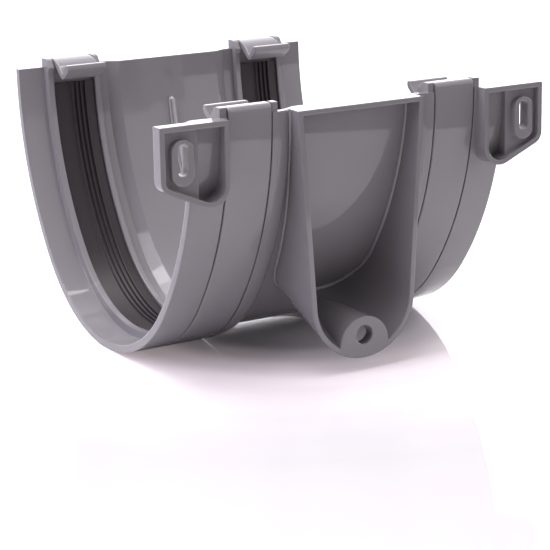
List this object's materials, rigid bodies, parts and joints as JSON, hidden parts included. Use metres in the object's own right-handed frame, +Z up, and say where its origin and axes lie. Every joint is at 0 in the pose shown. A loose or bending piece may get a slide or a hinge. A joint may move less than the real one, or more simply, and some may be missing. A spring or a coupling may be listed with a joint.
{
  "type": "gutter union",
  "caption": "Half-elliptical plastic gutter union with a sealed, strapped socket at each end, a fixing pocket with a screw lug, and slotted ears that bear on the wall.",
  "frame": {"origin": "on the floor, under the middle of the part's box", "axes": "+X along the gutter, +Y away from the wall, +Z up"},
  "size_m": [0.1314, 0.1244, 0.083],
  "materials": {
    "grey_pvc": "moulded, satin gloss",
    "grey_pvc_strap": "moulded, satin gloss",
    "black_rubber": "matt moulded rubber"
  },
  "bodies": {
    "root": {"union_body": "grey_pvc", "left_strap": "grey_pvc_strap", "right_strap": "grey_pvc_strap", "left_seal": "black_rubber", "right_seal": "black_rubber"}
  },
  "joints": []
}
